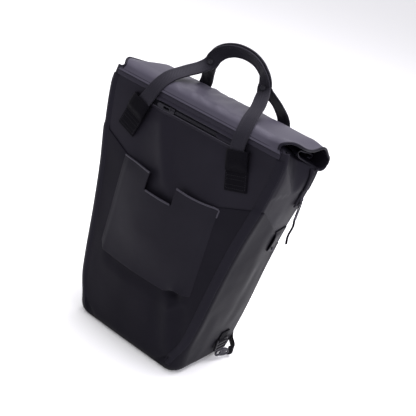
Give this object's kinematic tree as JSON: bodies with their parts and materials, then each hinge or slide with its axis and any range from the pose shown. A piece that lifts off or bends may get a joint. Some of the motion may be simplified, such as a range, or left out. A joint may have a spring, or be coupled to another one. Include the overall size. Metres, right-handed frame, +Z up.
{
  "type": "roll-top messenger backpack",
  "caption": "Roll-top cyclist's backpack with a welded cloth body, a folded top, twin carry handles, a front sleeve, zips and shoulder straps.",
  "frame": {"origin": "centre of the bag's footprint box on the floor it stands on", "axes": "+X to the bag's right seen from the front, -Y out of the front face with the sleeve, +Z up along the bag's height"},
  "size_m": [0.356, 0.2056, 0.5324],
  "materials": {
    "coated_cloth": "smooth coated woven cloth, satin",
    "band_cloth": "welded cloth band, satin",
    "zip_cloth": "zip tape, matt",
    "zip_coil": "moulded zip coil, satin",
    "webbing": "woven webbing, matt",
    "handle_cloth": "twill-faced padded cloth, matt",
    "dark_metal": "blackened metal, satin",
    "black_plastic": "moulded plastic, satin",
    "grey_plastic": "moulded plastic, satin"
  },
  "bodies": {
    "root": {"body_shell": "coated_cloth", "lower_wrap": "coated_cloth", "front_sleeve": "coated_cloth", "roll_top": "coated_cloth", "mouth_band": "band_cloth", "edge_band_right": "band_cloth", "edge_band_left": "band_cloth", "zip_tape_front": "zip_cloth", "zip_coil_front": "zip_coil", "zip_welt_front": "band_cloth", "zip_end_tab": "band_cloth", "handle_patch_front_right": "webbing", "handle_patch_front_left": "webbing", "handle_patch_rear_right": "webbing", "handle_patch_rear_left": "webbing", "handle_front": "handle_cloth", "handle_rear": "handle_cloth", "shoulder_strap_right": "handle_cloth", "shoulder_strap_left": "handle_cloth", "zip_slider_front": "dark_metal", "zip_pull_front": "dark_metal", "zip_tape_side": "zip_cloth", "zip_coil_side": "zip_coil", "zip_slider_side": "dark_metal", "zip_pull_side": "dark_metal", "zip_pull_tape": "webbing", "side_tab_right": "handle_cloth", "side_tab_left": "handle_cloth", "tab_rivet_right": "dark_metal", "tab_rivet_left": "dark_metal", "snap_front_right": "dark_metal", "snap_front_left": "dark_metal", "snap_rear_right": "dark_metal", "snap_rear_left": "dark_metal", "strap_anchor_right": "webbing", "strap_anchor_left": "webbing", "ladder_lock_right": "black_plastic", "ladder_lock_left": "black_plastic", "strap_hook_right": "grey_plastic", "strap_hook_left": "grey_plastic", "strap_webbing_right": "webbing", "strap_webbing_left": "webbing"}
  },
  "joints": []
}
